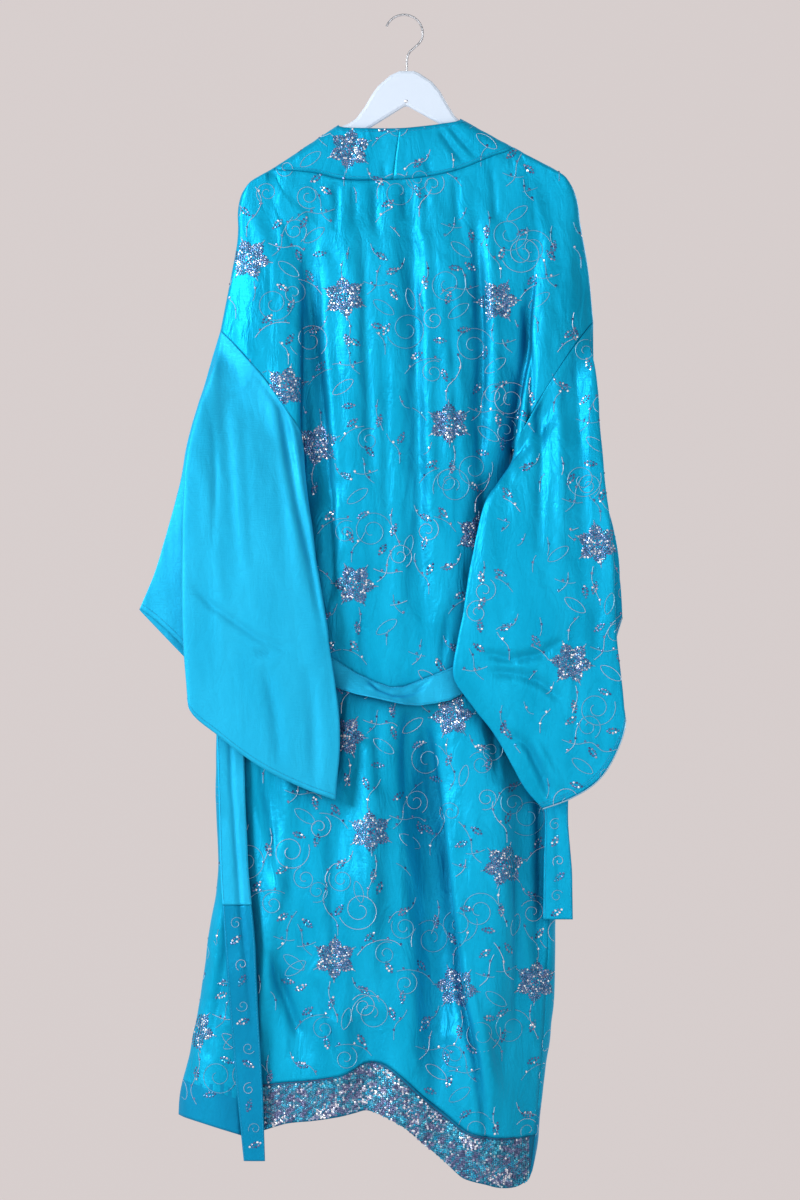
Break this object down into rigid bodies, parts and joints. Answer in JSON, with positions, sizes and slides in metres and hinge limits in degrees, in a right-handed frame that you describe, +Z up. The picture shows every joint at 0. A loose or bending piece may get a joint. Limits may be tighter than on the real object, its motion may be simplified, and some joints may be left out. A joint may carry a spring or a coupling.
{
  "type": "kimono-style robe on a clothes hanger",
  "caption": "Long wrap robe of turquoise satin with wide drop sleeves, a deep collar band, a tie belt, silver embroidery and a sequinned hem border, hanging on a white wooden hanger.",
  "frame": {"origin": "inside top of the wire hook, where it rests on a rail", "axes": "+Z up, the robe's back faces -Y, its open front +Y, the wearer's left side is -X"},
  "size_m": [0.666, 0.1584, 1.6164],
  "materials": {
    "satin": "turquoise satin, embroidered",
    "plain_satin": "plain turquoise satin",
    "sequin_border": "dense sequins on satin",
    "painted_wood": "white gloss paint",
    "chrome": "polished wire"
  },
  "bodies": {
    "root": {"back_panel": "satin", "back_hem_border": "sequin_border", "front_left": "satin", "front_right": "satin", "sleeve_left": "plain_satin", "sleeve_right": "satin", "collar_left": "satin", "collar_right": "satin", "belt": "plain_satin", "belt_loop_left": "satin", "belt_loop_right": "satin", "belt_tail_left": "plain_satin", "belt_end_left": "satin", "belt_tail_right": "satin", "hanger_board": "painted_wood", "hanger_hook": "chrome"}
  },
  "joints": []
}
